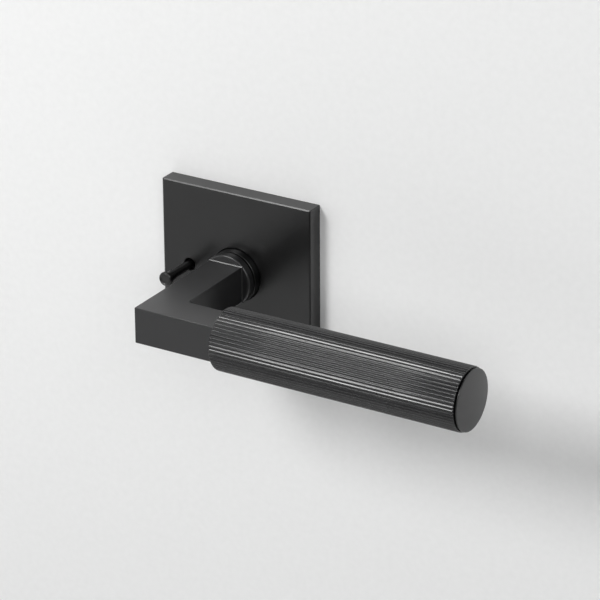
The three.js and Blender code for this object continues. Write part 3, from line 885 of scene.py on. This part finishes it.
def make_spring():
    """A torsion spring of round wire, with a straight leg bent back at each end."""
    low, high = span("return_spring", 1)
    bend = 1.6 * MM
    length = SPRING_RADIUS * (SPRING_BACK - SPRING_FRONT)
    path = [(0, low)]
    quarter = [math.pi / 2 * k / 8 for k in range(9)]
    path += [(bend - bend * math.cos(a), COIL_FRONT - bend + bend * math.sin(a)) for a in quarter]
    steps = 140
    path += [
        (bend + (length - 2 * bend) * k / steps, COIL_FRONT + (COIL_BACK - COIL_FRONT) * k / steps)
        for k in range(1, steps)
    ]
    path += [
        (length - bend + bend * math.sin(a), COIL_BACK + bend - bend * math.cos(a))
        for a in quarter
    ]
    path.append((length, high))
    rings = []
    sides = 16
    for k, (along, y) in enumerate(path):
        before = path[max(0, k - 1)]
        after = path[min(len(path) - 1, k + 1)]
        step = Vector((after[0] - before[0], after[1] - before[1])).normalized()
        angle = SPRING_FRONT + along / SPRING_RADIUS
        outwards = Vector((math.cos(angle), 0, math.sin(angle)))
        round_axis = Vector((-math.sin(angle), 0, math.cos(angle)))
        tangent = round_axis * step[0] + Vector((0, 1, 0)) * step[1]
        across = tangent.cross(outwards)
        centre = outwards * SPRING_RADIUS + Vector((0, y, 0))
        turns = [TAU * i / sides for i in range(sides)]
        rings.append([
            centre + WIRE_RADIUS * (math.cos(a) * outwards + math.sin(a) * across) for a in turns
        ])
    bm = bmesh.new()
    made = add_rings(bm, rings, False)
    bm.faces.new(made[0])
    bm.faces.new(made[-1])
    spring = new_object("torsion_spring", bm, smooth_angle=50)
    spring.data.materials.append(DARK_STEEL)
    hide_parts("return_spring")
    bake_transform(spring)


def make_hub():
    """The turned hub with its stop lug, square bore, spring hole and circlip groove."""
    front, back = span("drive_hub", 1)
    barrel = 8.8 * MM
    barrel_back = 7.8 * MM
    groove_radius = SHANK_RADIUS - 0.7 * MM
    clip_front, clip_back = span("hub_circlip", 1)
    hub = turned("drive_hub_turned", [
        (0, front), (SHANK_RADIUS, front), (SHANK_RADIUS, HUB_FLANGE_FRONT),
        (HUB_FLANGE_RADIUS, HUB_FLANGE_FRONT), (HUB_FLANGE_RADIUS, HUB_FLANGE_BACK),
        (barrel, HUB_FLANGE_BACK), (barrel, barrel_back), (SHANK_RADIUS, barrel_back),
        (SHANK_RADIUS, clip_front - GROOVE_SLACK), (groove_radius, clip_front - GROOVE_SLACK),
        (groove_radius, clip_back + GROOVE_SLACK), (SHANK_RADIUS, clip_back + GROOVE_SLACK),
        (SHANK_RADIUS, back), (0, back),
    ], radius=0.2 * MM, sides=96)
    inset = 0.05 * MM
    lug = add_sector(
        bmesh.new(), HUB_FLANGE_RADIUS - 1 * MM, STOP_LUG_RADIUS,
        UP - STOP_LUG_HALF_ANGLE, UP + STOP_LUG_HALF_ANGLE,
        HUB_FLANGE_FRONT + inset, HUB_FLANGE_BACK - inset,
    )
    combine(hub, new_object("t", lug), "UNION")
    mouth = 1.2 * MM
    bore = square_block([
        (BORE_HALF + mouth, front - 1 * MM), (BORE_HALF, front + 0.2 * MM),
        (BORE_HALF, back - 0.2 * MM), (BORE_HALF + mouth, back + 1 * MM),
    ], corner=0.2 * MM)
    combine(hub, new_object("t", bore))
    combine(hub, spring_hole(SPRING_FRONT, 0, HUB_FLANGE_BACK + 1 * MM))
    put(hub, "lever", "zinc_steel", PLATED, "drive_hub")


def make_clip(node, body, x, z, inner, outer, eye):
    """A sprung ring open below, with an eye for pliers at each end."""
    front, back = span(node, 1)
    clip = new_object(node + "_ring", add_sector(
        bmesh.new(), inner, outer, -60, 240, front, back, x=x, z=z, edge=0.08 * MM,
    ), smooth_angle=40)
    reach = outer - eye * 0.35
    inset = 0.02 * MM
    for angle in (-60, 240):
        a = math.radians(angle)
        eye_x = x + reach * math.cos(a)
        eye_z = z + reach * math.sin(a)
        round_end = turned("t", [
            (0, front + inset), (eye, front + inset), (eye, back - inset), (0, back - inset),
        ], radius=0.08 * MM, centre=(eye_x, 0, eye_z), sides=32)
        combine(clip, round_end, "UNION")
        through = (front - 1 * MM, back + 1 * MM)
        combine(clip, hole_tool(eye / 2, *through, x=eye_x, z=eye_z, sides=24))
    put(clip, body, "spring_steel", DARK_STEEL, node)


def make_clips():
    """The circlip on the hub and the clip on the pin."""
    make_clip("hub_circlip", "lever", 0, 0, 7.25 * MM, 9.6 * MM, 1.3 * MM)
    make_clip("pin_clip", "privacy_pin", PIN_X, PIN_Z, 1.6 * MM, 3.4 * MM, 0.75 * MM)


def make_spindle():
    """The square bar: rounded edges, tapered ends and two snap-off notches all round."""
    front, back = span("spindle", 1)
    half = span("spindle", 0)[1]
    taper = 1 * MM
    notch = 0.35 * MM
    sections = [(half - taper * 0.7, front), (half, front + taper)]
    for y in (back - 14 * MM, back - 8 * MM):
        sections += [(half, y - notch), (half - notch, y), (half, y + notch)]
    sections += [(half, back - taper), (half - taper * 0.7, back)]
    spindle = new_object("square_spindle", square_block(sections, corner=0.6 * MM), smooth_angle=25)
    put(spindle, "lever", "zinc_steel", PLATED, "spindle")


def make_bushes():
    """The nylon bush in the collar and the one round the pin."""
    front, back = span("neck_bearing", 1)
    rim = span("neck_bearing", 0)[1]
    rim_back = front + 0.4 * MM
    inner = SHANK_RADIUS + GAP
    outer = COLLAR_BORE - GAP
    bush = turned("neck_bush", [
        (inner, back), (inner, front), (rim, front), (rim, rim_back), (outer, rim_back), (outer, back),
    ], radius=0.12 * MM, closed=True, sides=96)
    put(bush, "rose", "nylon", NYLON, "neck_bearing")

    front, back = span("pin_guide", 1)
    rim = 4.2 * MM
    rim_back = front + 0.9 * MM
    inner = PIN_ROD_RADIUS + GAP
    outer = 3 * MM
    guide = turned("pin_bush", [
        (inner, back), (inner, front), (rim, front), (rim, rim_back), (outer, rim_back), (outer, back),
    ], radius=0.18 * MM, closed=True, centre=(PIN_X, 0, PIN_Z), sides=64)
    put(guide, "rose", "nylon", NYLON, "pin_guide")


def make_grip_fixings():
    """The plug and the washer the tie screw pulls on inside the grip."""
    inner = 3.3 * MM
    for node, outer, name in (
        ("grip_end_plug", SPIGOT_RADIUS, "grip_plug"),
        ("grip_tie_washer", 6.2 * MM, "tie_washer"),
    ):
        start, end = span(node, 0)
        ring = turned(name, [
            (inner, end), (inner, start), (outer, start), (outer, end),
        ], radius=0.15 * MM, closed=True, along="X", centre=(0, GRIP_Y, 0), sides=64)
        put(ring, "lever", "zinc_steel", PLATED, node)


# ---------------------------------------------------------------- stage, lights and camera

def make_stage():
    """A pale wall a hair in front of the door face, so the rose's back stands clear, and a floor."""
    reach = 3.0
    floor_z = -0.9
    face = -0.1 * MM
    bm = bmesh.new()
    corners = [
        (-reach, face, floor_z), (reach, face, floor_z), (reach, face, reach), (-reach, face, reach),
    ]
    bm.faces.new([bm.verts.new(c) for c in corners])
    wall = new_object("wall", bm)
    if wall.data.polygons[0].normal.y > 0:
        wall.data.flip_normals()
    wall.data.materials.append(wall_paint("wall_paint"))
    bm = bmesh.new()
    corners = [
        (-reach, -reach, floor_z), (reach, -reach, floor_z),
        (reach, reach, floor_z), (-reach, reach, floor_z),
    ]
    bm.faces.new([bm.verts.new(c) for c in corners])
    floor = new_object("floor", bm)
    floor.data.materials.append(wall_paint("floor_paint"))
    if floor.data.polygons[0].normal.z < 0:
        floor.data.flip_normals()


def area_light(name, towards, distance, size, power, aim=(0.04, -0.03, 0)):
    """A square soft box in a direction from the handle, facing it."""
    light = bpy.data.lights.new(name, "AREA")
    light.shape = "SQUARE"
    light.size = size
    light.energy = power
    lamp = bpy.data.objects.new(name, light)
    direction = Vector(towards).normalized()
    lamp.location = Vector(aim) + direction * distance
    lamp.rotation_euler = direction.to_track_quat("Z", "Y").to_euler()
    bpy.context.scene.collection.objects.link(lamp)


def make_lights():
    """A small key from the upper left, soft panels below and by the camera, one behind the wall."""
    area_light("key", (-0.38, -0.72, 0.58), 1.3, 0.4, 8.9)
    area_light("low_panel", (-0.38, -0.76, -0.52), 1.6, 1.2, 2.5)
    area_light("camera_fill", (0.476, -0.78, 0.405), 1.5, 0.9, 7.3)
    area_light("left_panel", (-0.8, -0.6, 0.1), 0.6, 0.4, 0.5)
    area_light("behind", (0.5, 0.7, 0.5), 1.5, 1.0, 12)
    world = bpy.data.worlds.new("studio")
    world.use_nodes = True
    background = world.node_tree.nodes["Background"]
    background.inputs["Color"].default_value = (0.98, 0.99, 1.0, 1)
    background.inputs["Strength"].default_value = 0.14
    bpy.context.scene.world = world


def make_camera():
    """From 31 degrees to the right and 24 above, with a long lens 1.3 m away."""
    azimuth, elevation, roll = (math.radians(a) for a in (31.399, 23.908, -0.315))
    lens = 203.75
    location = Vector((0.642202, -1.012625, 0.517897))
    back = Vector((
        math.sin(azimuth) * math.cos(elevation),
        -math.cos(azimuth) * math.cos(elevation),
        math.sin(elevation),
    ))
    camera_data = bpy.data.cameras.new("camera")
    camera_data.sensor_width = 36
    camera_data.lens = lens
    camera_data.clip_start = 0.05
    camera_data.clip_end = 20
    camera = bpy.data.objects.new("camera", camera_data)
    turn = back.to_track_quat("Z", "Y").to_matrix() @ Matrix.Rotation(roll, 3, "Z")
    camera.matrix_world = Matrix.Translation(location) @ turn.to_4x4()
    bpy.context.scene.collection.objects.link(camera)
    bpy.context.scene.camera = camera
    bpy.context.scene.view_settings.view_transform = "Standard"


make_camera()
make_stage()
make_lights()
make_rose()
make_collar()
make_arm()
make_grip()
make_end_cap()
make_pin()
make_plate()
make_housing()
make_hub()
make_spring()
make_clips()
make_spindle()
make_bushes()
make_screws()
make_grip_fixings()
